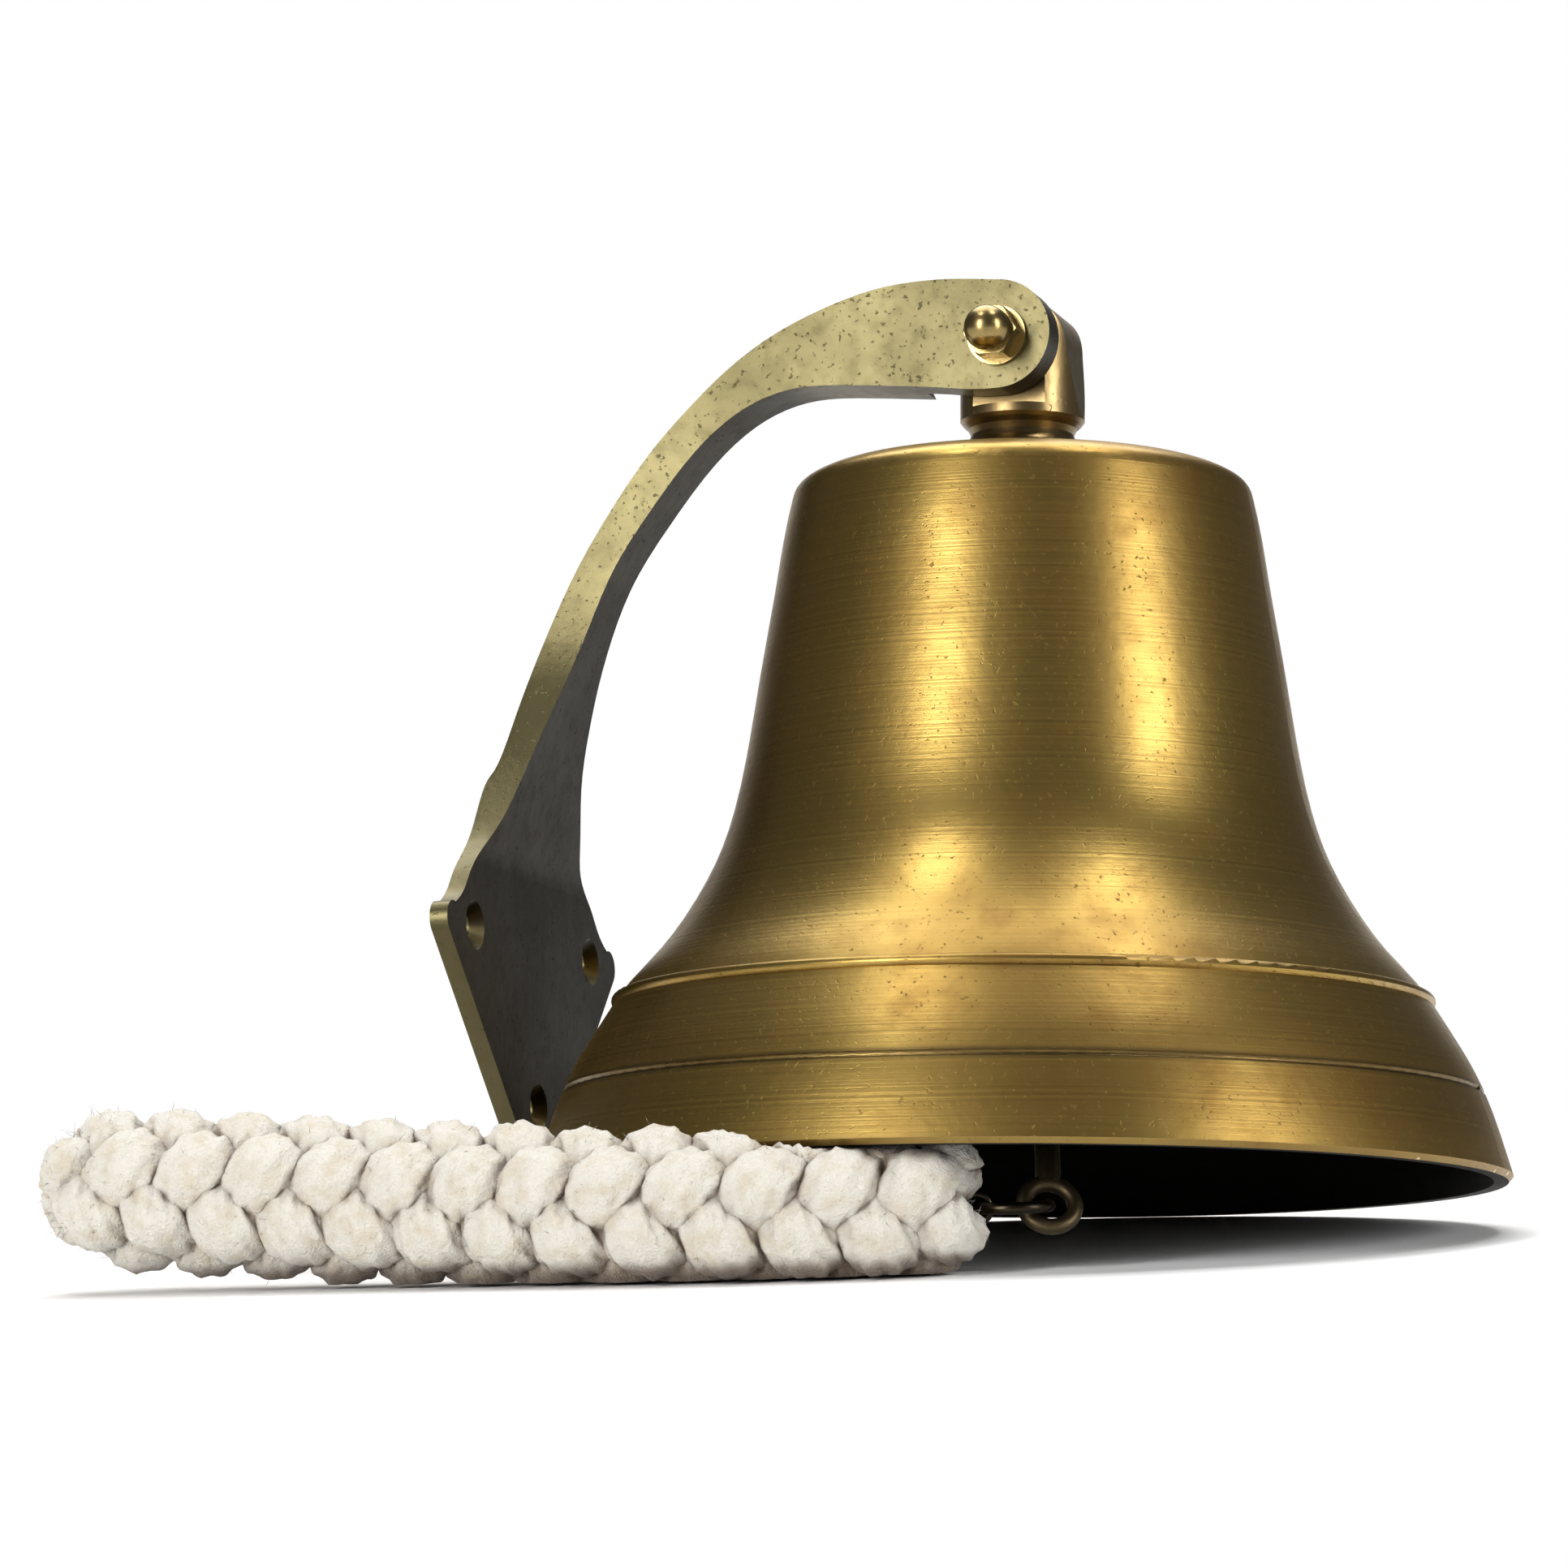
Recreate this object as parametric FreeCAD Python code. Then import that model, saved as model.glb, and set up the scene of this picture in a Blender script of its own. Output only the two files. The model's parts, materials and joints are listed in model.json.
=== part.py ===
import FreeCAD, Part
import math
import os

# Ship bell with wall bracket, clapper and rope lanyard, standing mouth down on a table.
# Millimetres. The bell is drawn upright first: mouth plane z = 0, bell axis on Z, wall side
# at -X, front at -Y. Every piece is then leant back as the bell stands, with its front rim
# over the rope, and moved so that the origin is at the bottom centre of the metal parts.

# ---- overall sizes ----
MOUTH_R = 101.5          # bell mouth, outside radius (8 inch bell)
BELL_H = 152.0           # mouth plane to top of crown
LEAN = 7.4               # degrees the bell leans back from upright
REACH = 109.5            # pivot axis to the front of the wall plate
ROPE_R = 12.4            # rope radius

# ---- bell wall ----
WALL = 3.6               # thickness at the waist
WALL_BOW = 5.0           # thickness at the sound bow
CROWN_T = 4.0            # thickness of the crown at the middle
SEAT_R = 15.5            # flat on the crown under the hanger
# outside of the bell: height over mouth as a share of BELL_H, radius as a share of MOUTH_R
SIDE = [(0.008, 1.000), (0.041, 0.985), (0.085, 0.9635), (0.130, 0.937), (0.174, 0.9025),
        (0.218, 0.862), (0.263, 0.8165), (0.307, 0.7575), (0.352, 0.7055), (0.397, 0.664),
        (0.442, 0.6305), (0.487, 0.606), (0.532, 0.588), (0.622, 0.5625), (0.713, 0.541),
        (0.803, 0.518), (0.894, 0.4965), (0.950, 0.479)]
BEAD_Z = 0.245 * BELL_H  # raised ring above the sound bow
BEAD_R = 1.3
LINE_Z = 0.119 * BELL_H  # turned line near the rim
LINE_R = 0.7

# ---- hanger (turned post with one ear, screwed to the crown) ----
FOOT_R = 14.5
NECK_R = 10.9
POST_R = 13.2
PIVOT_Z = BELL_H + 24.0  # pivot axis over the mouth plane
EAR_R = 11.4
SEAT_DROP = 12.8         # pivot axis down to the ledge under the bracket tongue
EAR_NEAR = -10.6         # ear face towards the tongue
EAR_FAR = 12.4
STUD_R = 4.0             # M8 shank of the clapper eye bolt
STUD_IN = 13.0           # how far the shank goes up into the hanger

# ---- pivot hardware (M6) ----
BOLT_R = 3.0
RUN = 0.05               # running clearance, bolt in bush
BUSH_R = 5.0
GAP = 0.1                # flat faces that slide past each other
THRUST_T = 0.9
TONGUE_T = 7.6
WASHER_T = 1.2
WASHER_R = 6.3
NUT_AF = 10.0
NUT_HEX = 5.5
NUT_DOME = 4.75
NUT_H = 12.0
NUT_DEPTH = 9.0
PLAIN_NUT = 5.0          # far nut
BOLT_END = 17.0          # thread left beyond the far nut

# ---- bracket casting ----
ARM_W = 14.0
PLATE_T = 3.9
PLATE_HALF = 52.0        # half width of the plate at its side corners
PLATE_REST = -2.4        # degrees the bracket is turned about the pivot in this pose
TIP_DROP = 172.0         # pivot axis down to the plate's lower tip
CORNER_DROP = 118.6      # pivot axis down to the plate's side corners
HOLE_R = 2.75            # wall screw holes
HOLE_SINK_R = 5.2
HOLE_SIDE = 35.0         # upper holes, each side of the middle
HOLE_LOW = 35.0          # lower hole below the upper pair
POCKET_R = 20.0          # room for the ear where the arm thins to the tongue

# ---- clapper ----
HANG_Z = BELL_H - 22.0   # clapper pivot over the mouth plane
EYE_R = 7.0
EYE_WIRE = 2.5
LOOP_R = 8.0
LOOP_WIRE = 2.2
ROD_R = 3.0
BALL_R = 18.6
BALL_AT = 100.5          # pivot to middle of the ball
TAIL_EYE_R = 5.0
TAIL_WIRE = 1.6
TAIL_SHANK_R = 2.5

# ---- lanyard ----
ROPE_GAP = 0.15          # rope's underside over the table
PULL_X, PULL_Y = 27.0, -77.0      # where the lanyard hooks on, table plan from the bell centre
ROPE_PLAN = [(-30.0, -101.0, 0.0), (-90.0, -100.0, 0.0), (-152.0, -107.0, 6.0)]
HOOK_ON = 18.1           # hook-on point to the rope's end
RING_R = 7.0
RING_WIRE = 1.2
PIN_EYE_R = 2.6
PIN_WIRE = 1.0
PIN_R = 1.3
WHIP_R = 11.2
WHIP_L = 9.0
END_R = 16.0
END_L = 15.0

V = FreeCAD.Vector
X, Y, Z = V(1, 0, 0), V(0, 1, 0), V(0, 0, 1)
O = V(0, 0, 0)
LIFT = MOUTH_R * math.sin(math.radians(LEAN))   # mouth centre over the table


def cyl(r, length, at, axis=Z):
    return Part.makeCylinder(r, length, at, axis)


def ring(mean, wire, at, axis):
    return Part.makeTorus(mean, wire, at, axis)


def revolve(points):
    """Solid of revolution about Z from closed (radius, height) points."""
    pts = [V(r, 0, z) for r, z in points]
    return Part.Face(Part.makePolygon(pts + [pts[0]])).revolve(O, Z, 360)


def tube(outer, inner, length, at, axis):
    return cyl(outer, length, at, axis).cut(cyl(inner, length, at, axis))


def hexagon(flats, height, at, axis):
    r = flats / 2 / math.cos(math.radians(30))
    pts = [V(r * math.cos(math.radians(60 * i)), r * math.sin(math.radians(60 * i)), 0)
           for i in range(7)]
    prism = Part.Face(Part.makePolygon(pts)).extrude(V(0, 0, height))
    cone = Part.makeCone(r + 1.0, r - 0.35, 1.2, V(0, 0, height - 1.2))
    cap = prism.common(cyl(r + 2, height - 1.2, O).fuse(cone))
    cap.Placement = FreeCAD.Placement(at, FreeCAD.Rotation(Z, axis))
    return cap


def outside():
    return [V(MOUTH_R * r, 0, BELL_H * z) for z, r in SIDE]


def inside():
    """Inner wall points: the outer wall moved in along its normal."""
    out, pts = outside(), []
    for i, p in enumerate(out):
        a, b = out[max(i - 1, 0)], out[min(i + 1, len(out) - 1)]
        t = (b - a).normalize()
        n = V(-t.z, 0, t.x)
        share = p.z / BELL_H
        w = WALL_BOW + (WALL - WALL_BOW) * min(1.0, abs(share - 0.20) / 0.35)
        pts.append(p + n * w)
    return pts


def bell_shell():
    out, inn = outside(), inside()
    side_out, side_in = Part.BSplineCurve(), Part.BSplineCurve()
    side_out.interpolate(out)
    side_in.interpolate(inn)
    top = BELL_H
    sh = out[-1]
    arc = Part.BSplineCurve()
    t0 = side_out.tangent(side_out.LastParameter)[0]
    crown = [sh, sh + V(-1.0, 0, 2.2), sh + V(-3.4, 0, 3.9), V(34.0, 0, top - 2.0),
             V(24.0, 0, top - 0.7), V(SEAT_R, 0, top)]
    arc.interpolate(Points=crown, InitialTangent=t0, FinalTangent=V(-1, 0, 0.0))
    under = Part.BSplineCurve()
    t1 = side_in.tangent(side_in.LastParameter)[0]
    low = [inn[-1], inn[-1] + V(-1.2, 0, 1.6), inn[-1] + V(-4.0, 0, 2.7),
           V(24.0, 0, top - CROWN_T - 0.7), V(SEAT_R - 1, 0, top - CROWN_T)]
    under.interpolate(Points=low, InitialTangent=t1, FinalTangent=V(-1, 0, 0.0))
    lip_in = V(inn[0].x + 0.2, 0, 0)
    lip_out = V(MOUTH_R - 1.0, 0, 0)
    hole = STUD_R + 0.3
    edges = [side_out.toShape(), arc.toShape(),
             Part.makeLine(crown[-1], V(hole, 0, top)),
             Part.makeLine(V(hole, 0, top), V(hole, 0, top - CROWN_T)),
             Part.makeLine(V(hole, 0, top - CROWN_T), low[-1]),
             under.toShape(), side_in.toShape(),
             Part.makeLine(inn[0], lip_in), Part.makeLine(lip_in, lip_out),
             Part.makeLine(lip_out, out[0])]
    wire = Part.Wire(Part.__sortEdges__(edges))
    shell = Part.Face(wire).revolve(O, Z, 360)
    r_bead = side_radius(side_out, BEAD_Z)
    r_line = side_radius(side_out, LINE_Z)
    shell = shell.fuse(ring(r_bead - 0.25, BEAD_R, V(0, 0, BEAD_Z), Z))
    shell = shell.cut(ring(r_line + 0.15, LINE_R, V(0, 0, LINE_Z), Z))
    return shell.removeSplitter()


def side_radius(curve, z):
    lo, hi = curve.FirstParameter, curve.LastParameter
    for _ in range(50):
        mid = (lo + hi) / 2
        if curve.value(mid).z < z:
            lo = mid
        else:
            hi = mid
    return curve.value(lo).x


def hanger():
    b = BELL_H
    post = revolve([(0, b), (FOOT_R - 0.6, b), (FOOT_R, b + 0.8), (FOOT_R, b + 2.2),
                    (FOOT_R - 0.9, b + 3.4), (FOOT_R - 2.4, b + 3.9), (NECK_R + 0.5, b + 5.0),
                    (NECK_R, b + 6.3), (NECK_R + 0.6, b + 7.6), (POST_R - 0.6, b + 8.6),
                    (POST_R, b + 9.4), (POST_R, PIVOT_Z + EAR_R + 1), (0, PIVOT_Z + EAR_R + 1)])
    low = PIVOT_Z - SEAT_DROP
    ledge = Part.makeBox(60, 60, 60, V(-30, EAR_NEAR - 60, low))
    far = Part.makeBox(60, 60, 60, V(-30, EAR_FAR, low))
    pts = [V(-30, -30, b - 1), V(30, -30, b - 1), V(30, -30, b + 5), V(POST_R + 0.2, -30, low - 3),
           V(EAR_R, -30, PIVOT_Z), V(-EAR_R, -30, PIVOT_Z), V(-POST_R - 0.2, -30, low - 3),
           V(-30, -30, b + 5)]
    front = Part.Face(Part.makePolygon(pts + [pts[0]])).extrude(V(0, 60, 0))
    front = front.fuse(cyl(EAR_R, 60, V(0, -30, PIVOT_Z), Y))
    post = post.common(front).cut(ledge).cut(far)
    post = post.cut(cyl(BUSH_R, 60, V(0, -30, PIVOT_Z), Y))
    return post.cut(cyl(STUD_R, STUD_IN, V(0, 0, b), Z)).removeSplitter()


def pivot_bush():
    return tube(BUSH_R, BOLT_R + RUN, EAR_FAR - EAR_NEAR, V(0, EAR_NEAR, PIVOT_Z), Y)


def acorn_nut(at, axis):
    body = hexagon(NUT_AF, NUT_HEX, at, axis)
    body = body.fuse(cyl(NUT_DOME, NUT_H - NUT_DOME, at, axis))
    body = body.fuse(Part.makeSphere(NUT_DOME, at + axis * (NUT_H - NUT_DOME)))
    return body.cut(cyl(BOLT_R, NUT_DEPTH, at, axis)).removeSplitter()


TONGUE_FAR = EAR_NEAR - GAP - THRUST_T
TONGUE_NEAR = TONGUE_FAR - TONGUE_T
NUT_NEAR = TONGUE_NEAR - WASHER_T
NUT_FAR = EAR_FAR + GAP + WASHER_T
ARM_Y = TONGUE_NEAR + ARM_W / 2                 # middle plane of the bracket


def bracket():
    """One casting, drawn about the pivot axis: tongue, arched arm, kite-shaped wall plate."""
    f = -REACH
    k = f - PLATE_T
    top = [(0, 12.2), (-9, 13.3), (-17, 13.6), (-26.5, 12.9), (-36, 10.6), (-44, 7.8), (-52, 4.0),
           (-60, -1.2), (-69.5, -9.2), (-76, -15.5), (-86.5, -28.4), (-95.5, -42.0),
           (-102.3, -55.5), (-107.3, -70.0), (-111.0, -84.0), (k, -100.0)]
    low = [(f, -106.0), (-107.4, -97.0), (-103.8, -84.0), (-99.0, -70.0), (-93.2, -55.5),
           (-86.8, -42.0), (-77.8, -29.6), (-70.4, -20.9), (-63.2, -14.2), (-55.0, -9.2),
           (-45, -6.6), (-36, -6.8), (-24, -8.2), (-12, -9.8), (0, -11.0)]
    scale = REACH / 109.5
    a = [V(x * scale, 0, z) for x, z in top]
    a[-1] = V(k, 0, top[-1][1])
    b = [V(x * scale, 0, z) for x, z in low]
    b[0] = V(f, 0, low[0][1])
    upper, lower = Part.BSplineCurve(), Part.BSplineCurve()
    upper.interpolate(Points=a, InitialTangent=V(-1, 0, 0.12), FinalTangent=V(0, 0, -1))
    lower.interpolate(Points=b, InitialTangent=V(0.0, 0, 1), FinalTangent=V(1, 0, 0))
    nose = Part.Arc(b[-1], V(11.2, 0, 1.2), a[0]).toShape()
    base = -TIP_DROP - 1
    edges = [upper.toShape(), Part.makeLine(a[-1], V(k, 0, base)),
             Part.makeLine(V(k, 0, base), V(f, 0, base)), Part.makeLine(V(f, 0, base), b[0]),
             lower.toShape(), nose]
    side = Part.Face(Part.Wire(Part.__sortEdges__(edges)))
    side.translate(V(0, ARM_Y - PLATE_HALF - 5, 0))
    side = side.extrude(V(0, 2 * PLATE_HALF + 10, 0))
    cast = side.common(plate_outline())
    cast = cast.cut(cyl(POCKET_R, 30, V(0, TONGUE_FAR, 0), Y))
    cast = cast.cut(cyl(BOLT_R + 0.2, 60, V(0, TONGUE_NEAR - 20, 0), Y))
    for y, z in hole_points():
        at = V(f - PLATE_T - 1, y, z)
        cast = cast.cut(cyl(HOLE_R, PLATE_T + 2, at, X))
        sink = Part.makeCone(HOLE_R, HOLE_SINK_R, HOLE_SINK_R - HOLE_R,
                             V(f - (HOLE_SINK_R - HOLE_R), y, z), X)
        cast = cast.cut(sink)
    return cast.removeSplitter()


def hole_points():
    return [(ARM_Y - HOLE_SIDE, -CORNER_DROP - 1), (ARM_Y + HOLE_SIDE, -CORNER_DROP - 1),
            (ARM_Y, -CORNER_DROP - 1 - HOLE_LOW)]


def plate_outline():
    """Front outline of the casting: narrow arm above, kite-shaped plate below."""
    h, w = ARM_W / 2, PLATE_HALF
    c = -CORNER_DROP
    flare = [(h, -44.0), (h + 0.6, -56.0), (h + 2.2, -64.0), (h + 5.2, -73.0), (h + 9.2, -83.0),
             (h + 14.2, -92.0), (h + 20.6, -100.5), (h + 30.0, -108.5), (w - 6.0, c + 2.6)]
    blunt = 4.0
    halves = []
    for s in (1, -1):
        pts = [V(0, ARM_Y + s * y, z) for y, z in flare]
        curve = Part.BSplineCurve()
        curve.interpolate(Points=pts, InitialTangent=V(0, 0, -1), FinalTangent=V(0, s * 1, -0.45))
        corner = Part.Arc(pts[-1], V(0, ARM_Y + s * (w - 1.1), c - 0.4),
                          V(0, ARM_Y + s * (w - 2.2), c - 3.6)).toShape()
        tip = V(0, ARM_Y + s * blunt, -TIP_DROP + 3.0)
        halves.append([Part.makeLine(V(0, ARM_Y + s * h, 30), pts[0]), curve.toShape(), corner,
                       Part.makeLine(V(0, ARM_Y + s * (w - 2.2), c - 3.6), tip)])
    end = Part.Arc(V(0, ARM_Y + blunt, -TIP_DROP + 3.0), V(0, ARM_Y, -TIP_DROP),
                   V(0, ARM_Y - blunt, -TIP_DROP + 3.0)).toShape()
    cap = Part.makeLine(V(0, ARM_Y - h, 30), V(0, ARM_Y + h, 30))
    wire = Part.Wire(Part.__sortEdges__(halves[0] + halves[1] + [end, cap]))
    face = Part.Face(wire)
    face.translate(V(-REACH - 40, 0, 0))
    return face.extrude(V(REACH + 80, 0, 0))


def at_pivot(shape):
    """Turn a bracket piece about the pivot axis into its place on the upright bell."""
    shape = shape.copy()
    shape.rotate(O, Y, PLATE_REST)
    shape.translate(V(0, 0, PIVOT_Z))
    return shape


# ---- where the clapper points: at the lanyard's hook-on point under the front rim ----
def to_bell(p):
    """Table coordinates (from the mouth centre's plan position) to the upright bell."""
    q = FreeCAD.Rotation(X, LEAN).multVec(p - V(0, 0, LIFT))
    return q


def to_table(p):
    return FreeCAD.Rotation(X, -LEAN).multVec(p) + V(0, 0, LIFT)


HANG = V(0, 0, HANG_Z)
PULL = V(PULL_X, PULL_Y, ROPE_R + ROPE_GAP)
PULL_B = to_bell(PULL)
DOWN = (PULL_B - HANG).normalize()
CLAPPER_L = (PULL_B - HANG).Length
SWING_AXIS = V(-DOWN.y, DOWN.x, 0).normalize()
OUT = V(ROPE_PLAN[0][0] - PULL_X, ROPE_PLAN[0][1] - PULL_Y, 0).normalize()
ROPE_AXIS = V(-OUT.y, OUT.x, 0)


def eye_bolt():
    shape = ring(EYE_R, EYE_WIRE, HANG, SWING_AXIS)
    low = HANG_Z + EYE_R
    neck = Part.makeCone(EYE_WIRE + 0.6, STUD_R, 3.0, V(0, 0, low + 1.0), Z)
    shank = cyl(STUD_R, BELL_H + STUD_IN - 0.5 - low - 4.0, V(0, 0, low + 4.0), Z)
    return shape.fuse(cyl(EYE_WIRE + 0.6, 2.0, V(0, 0, low), Z)).fuse(neck).fuse(shank)


UNDER = BELL_H - CROWN_T
CLAMP_T = 1.6
LOCK_H = 5.0


def clamp_washer():
    return tube(12.0, STUD_R, CLAMP_T, V(0, 0, UNDER - CLAMP_T), Z)


def clamp_nut():
    nut = hexagon(13.0, LOCK_H, V(0, 0, UNDER - CLAMP_T), V(0, 0, -1))
    return nut.cut(cyl(STUD_R, LOCK_H, V(0, 0, UNDER - CLAMP_T - LOCK_H), Z))


def along(distance):
    return HANG + DOWN * distance


def clapper_rod():
    """Wire rod with a closed loop at the top; it runs through the ball."""
    side = DOWN.cross(SWING_AXIS)
    loop = ring(LOOP_R, LOOP_WIRE, along(LOOP_R), side)
    start = 2 * LOOP_R + 0.2
    stop = BALL_AT + BALL_R + 9.5
    return loop.fuse(cyl(ROD_R, stop - start, along(start), DOWN)).removeSplitter()


BALL_LOW = BALL_AT + BALL_R - 0.5


def clapper_ball():
    """Pear-shaped striker."""
    r = BALL_R
    pts = [(0, r + 9.0), (4.6, r + 9.0), (5.2, r + 7.0), (6.4, r + 3.6), (8.8, r - 0.6)]
    for i in range(0, 19):
        t = math.radians(58 - i * (58 + 76) / 18.0)
        pts.append((r * math.cos(t), r * math.sin(t)))
    pts += [(4.8, -r + 0.5), (0, -r + 0.5)]
    ball = revolve(pts)
    ball.Placement = FreeCAD.Placement(along(BALL_AT), FreeCAD.Rotation(Z, DOWN * -1))
    return ball.cut(cyl(ROD_R, 4 * r, along(BALL_AT - 2 * r), DOWN))


def ball_nut():
    nut = hexagon(NUT_AF, 4.6, along(BALL_LOW), DOWN)
    return nut.cut(cyl(ROD_R, 10, along(BALL_LOW - 2), DOWN))


def clapper_tail():
    """Socket screwed on the rod's end, with a shank and a small eye."""
    start = BALL_LOW + 4.6
    socket = cyl(4.6, 12.0, along(start), DOWN).cut(cyl(ROD_R, 5.4, along(start), DOWN))
    cone = Part.makeCone(4.6, TAIL_SHANK_R, 4.0, along(start + 12.0), DOWN)
    shank = cyl(TAIL_SHANK_R, CLAPPER_L - TAIL_EYE_R - start - 15.5, along(start + 15.5), DOWN)
    hole = tail_axis()
    eye = ring(TAIL_EYE_R, TAIL_WIRE, PULL_B, hole)
    return socket.fuse(cone).fuse(shank).fuse(eye).removeSplitter()


def tail_axis():
    """Hole axis of the tail eye: square to the shank, nearest to the lanyard's hinge axis."""
    want = to_bell(PULL + ROPE_AXIS) - PULL_B
    return (want - DOWN * want.dot(DOWN)).normalize()


# ---- lanyard pieces are drawn straight in table coordinates ----
def lanyard_ring():
    return ring(RING_R, RING_WIRE, PULL + OUT * RING_R, Z)


START = PULL + OUT * HOOK_ON


def eye_pin():
    """Small eye on a pin that is bound into the rope's end."""
    at = PULL + OUT * (2 * RING_R + PIN_EYE_R - PIN_WIRE - RING_WIRE - 0.05)
    eye = ring(PIN_EYE_R, PIN_WIRE, at, ROPE_AXIS)
    first = at + OUT * PIN_EYE_R
    pin = cyl(PIN_R, (START - first).dot(OUT) + WHIP_L, first, OUT)
    return eye.fuse(pin).removeSplitter()


def rope_whipping():
    band = cyl(WHIP_R, WHIP_L, START, OUT)
    return band.cut(cyl(PIN_R, WHIP_L, START, OUT))


def rope_points():
    z = ROPE_R + ROPE_GAP
    first = START + OUT * WHIP_L
    return [first] + [V(x, y, z + up) for x, y, up in ROPE_PLAN]


def lanyard_rope():
    """Plain tube along straight runs joined by tangent arcs."""
    pts = rope_points()
    pieces, here, length = [], pts[0], 0.0
    for i in range(1, len(pts) - 1):
        a, b = pts[i] - pts[i - 1], pts[i + 1] - pts[i]
        turn = a.getAngle(b)
        radius = 0.45 * min(a.Length, b.Length) / math.tan(turn / 2)
        cut = radius * math.tan(turn / 2)
        a.normalize()
        b.normalize()
        p, q = pts[i] - a * cut, pts[i] + b * cut
        mid = pts[i] + (b - a).normalize() * radius * (1 / math.cos(turn / 2) - 1)
        pieces += [Part.LineSegment(here, p).toShape(), Part.Arc(p, mid, q).toShape()]
        here = q
        print("bend", i, "radius", round(radius, 1), "turn", round(math.degrees(turn), 1))
    pieces.append(Part.LineSegment(here, pts[-1]).toShape())
    path = Part.Wire(pieces)
    start = Part.Wire(Part.Circle(pts[0], (pts[1] - pts[0]).normalize(), ROPE_R).toShape())
    shape = path.makePipeShell([start], True, False)
    print("rope volume", round(shape.Volume), "section x length",
          round(math.pi * ROPE_R ** 2 * path.Length), "length", round(path.Length, 1))
    return shape


def rope_end():
    """Rounded crown knot that closes the far end of the rope."""
    pts = rope_points()
    d = (pts[-1] - pts[-2]).normalize()
    r = ROPE_R
    knot = revolve([(0, 0), (r - 0.6, 0), (r, 1.2), (r, END_L * 0.45), (r - 1.4, END_L * 0.7),
                    (r - 4.6, END_L * 0.92), (0, END_L)])
    knot.Placement = FreeCAD.Placement(pts[-1], FreeCAD.Rotation(Z, d))
    return knot


def thrust_washer():
    return tube(9.0, BOLT_R + RUN, THRUST_T, V(0, TONGUE_FAR, PIVOT_Z), Y)


def pivot_bolt():
    start = NUT_NEAR - NUT_DEPTH + 0.8
    stop = NUT_FAR + PLAIN_NUT + BOLT_END
    bolt = cyl(BOLT_R, stop - start - 1.0, V(0, start, PIVOT_Z), Y)
    return bolt.fuse(Part.makeCone(BOLT_R, BOLT_R - 0.8, 1.0, V(0, stop - 1.0, PIVOT_Z), Y))


def far_nut():
    nut = hexagon(NUT_AF, PLAIN_NUT, V(0, NUT_FAR, PIVOT_Z), Y)
    return nut.cut(cyl(BOLT_R, PLAIN_NUT, V(0, NUT_FAR, PIVOT_Z), Y))


def washer(at):
    return tube(WASHER_R, BOLT_R + 0.1, WASHER_T, V(0, at, PIVOT_Z), Y)


BELL_PIECES = {
    "bell_shell": bell_shell, "hanger": hanger, "pivot_bush": pivot_bush,
    "clapper_eye_bolt": eye_bolt, "clamp_washer": clamp_washer, "clamp_nut": clamp_nut,
    "bracket_casting": lambda: at_pivot(bracket()), "pivot_bolt": pivot_bolt,
    "near_washer": lambda: washer(NUT_NEAR), "far_washer": lambda: washer(EAR_FAR + GAP),
    "acorn_nut": lambda: acorn_nut(V(0, NUT_NEAR, PIVOT_Z), V(0, -1, 0)),
    "far_nut": far_nut,
    "thrust_washer": thrust_washer,
    "clapper_rod": clapper_rod, "clapper_ball": clapper_ball, "ball_nut": ball_nut,
    "clapper_tail": clapper_tail,
}
TABLE_PIECES = {
    "lanyard_ring": lanyard_ring, "eye_pin": eye_pin, "rope_whipping": rope_whipping,
    "lanyard_rope": lanyard_rope, "rope_end": rope_end,
}
CORD_NODES = ("lanyard_rope", "rope_end", "rope_whipping")


def main():
    os.makedirs("parts", exist_ok=True)
    shapes = {}
    for name, build in BELL_PIECES.items():
        shape = build()
        shape.rotate(O, X, -LEAN)
        shape.translate(V(0, 0, LIFT))
        shapes[name] = shape
    for name, build in TABLE_PIECES.items():
        shapes[name] = build()
    xs, ys, zs = [], [], []
    for name, shape in shapes.items():
        if name in CORD_NODES:
            continue
        for p in shape.tessellate(0.05)[0]:
            xs.append(p.x)
            ys.append(p.y)
            zs.append(p.z)
    shift = V(-(min(xs) + max(xs)) / 2, -(min(ys) + max(ys)) / 2, -min(zs))
    print("shift", [round(v, 3) for v in shift])
    print("size", [round(max(v) - min(v), 2) for v in (xs, ys, zs)])
    for name, shape in shapes.items():
        shape.translate(shift)
        if not shape.isValid() or not shape.Solids:
            print("BAD SHAPE", name, shape.isValid(), len(shape.Solids))
        shape.exportStep("parts/" + name + ".step")
    report(shift)


def report(shift):
    def show(name, p):
        print(name, [round(v / 1000.0, 5) for v in p])

    def direction(name, d):
        print(name, [round(v, 5) for v in d])
    turn = FreeCAD.Rotation(X, -LEAN)
    show("bell centre", V(0, 0, LIFT) + shift)
    show("bell_swing pos", to_table(V(0, 0, PIVOT_Z)) + shift)
    direction("bell_swing axis", turn.multVec(Y))
    show("clapper_swing pos", to_table(HANG) + shift)
    direction("clapper_swing axis", turn.multVec(SWING_AXIS))
    print("clapper length", round(CLAPPER_L, 2), "angle off bell axis",
          round(math.degrees(DOWN.getAngle(V(0, 0, -1))), 2))
    show("lanyard_droop pos", PULL + shift)
    direction("lanyard_droop axis", ROPE_AXIS)
    for y, z in hole_points():
        p = FreeCAD.Rotation(Y, PLATE_REST).multVec(V(-REACH - PLATE_T + 0.7, y, z))
        show("hole", to_table(p + V(0, 0, PIVOT_Z)) + shift)
    p = FreeCAD.Rotation(Y, PLATE_REST).multVec(V(-REACH - PLATE_T, ARM_Y, -CORNER_DROP + 12))
    show("plate back", to_table(p + V(0, 0, PIVOT_Z)) + shift)
    direction("plate normal", turn.multVec(FreeCAD.Rotation(Y, PLATE_REST).multVec(V(-1, 0, 0))))
    for p in rope_points():
        show("rope point", p + shift)


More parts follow.
